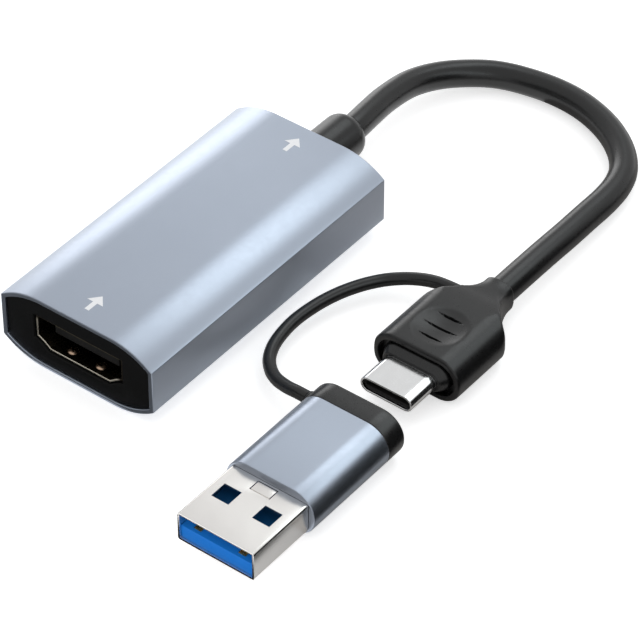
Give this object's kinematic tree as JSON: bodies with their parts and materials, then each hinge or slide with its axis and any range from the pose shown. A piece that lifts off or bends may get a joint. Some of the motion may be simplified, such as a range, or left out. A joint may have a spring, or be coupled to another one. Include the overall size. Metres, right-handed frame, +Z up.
{
  "type": "video capture box",
  "caption": "Slim aluminium video capture box with a video input socket, a short fixed lead with a small reversible plug, and a tethered adapter that slides onto it to give a wide flat plug.",
  "frame": {"origin": "middle of the box's flat underside, on the surface that it rests on", "axes": "+Z up, +Y along the box towards its lead, -Y towards the video input; the plug and its adapter lie at +X"},
  "size_m": [0.0544, 0.1031, 0.0116],
  "materials": {
    "anodised_aluminium": "fine blasted blue-grey anodised aluminium",
    "black_plastic": "fine matt black moulded plastic",
    "soft_black": "satin black soft moulding",
    "cap_plastic": "satin black moulded plastic",
    "socket_steel": "nickel-plated folded steel",
    "tip_metal": "bright nickel-plated drawn steel",
    "wide_plug_steel": "warm white nickel-plated folded steel",
    "insulator_black": "black contact plastic",
    "blue_plastic": "blue moulded contact tongue",
    "contact_gold": "gold-plated contacts",
    "board_green": "green solder mask",
    "chip_black": "black chip resin",
    "crystal_can": "bright metal can",
    "ceramic": "tan ceramic",
    "wire_insulation": "coloured wire insulation"
  },
  "bodies": {
    "capture_box": {"housing_sleeve": "anodised_aluminium", "front_end_plate": "black_plastic", "rear_end_plate": "black_plastic", "video_socket_shell": "socket_steel", "video_socket_insulator": "insulator_black", "video_socket_contacts": "contact_gold", "main_board": "board_green", "capture_chip": "chip_black", "memory_chip": "chip_black", "firmware_chip": "chip_black", "clock_crystal": "crystal_can", "power_inductors": "chip_black", "ceramic_capacitors": "ceramic", "chip_resistors": "chip_black", "cable_wires": "wire_insulation", "cable_strain_relief": "soft_black", "main_cable": "soft_black", "plug_overmould": "soft_black", "plug_core": "black_plastic", "plug_shell": "tip_metal", "plug_insulator": "insulator_black", "plug_contacts": "contact_gold", "plug_latch_arms": "socket_steel", "plug_board": "board_green", "tether": "soft_black"},
    "adapter": {"adapter_sleeve": "anodised_aluminium", "adapter_cap": "cap_plastic", "adapter_core": "black_plastic", "adapter_board": "board_green", "adapter_socket_shell": "socket_steel", "adapter_socket_tongue": "insulator_black", "adapter_socket_contacts": "contact_gold", "wide_plug_shell": "wide_plug_steel", "wide_plug_tongue": "blue_plastic", "wide_plug_contacts": "contact_gold", "wide_plug_rear_contacts": "contact_gold"}
  },
  "joints": [
    {"name": "adapter_slide", "type": "slide", "parent": "capture_box", "child": "adapter", "axis": [0, 1, 0], "range_m": [0, 0.0102], "deforming": ["tether"]}
  ]
}
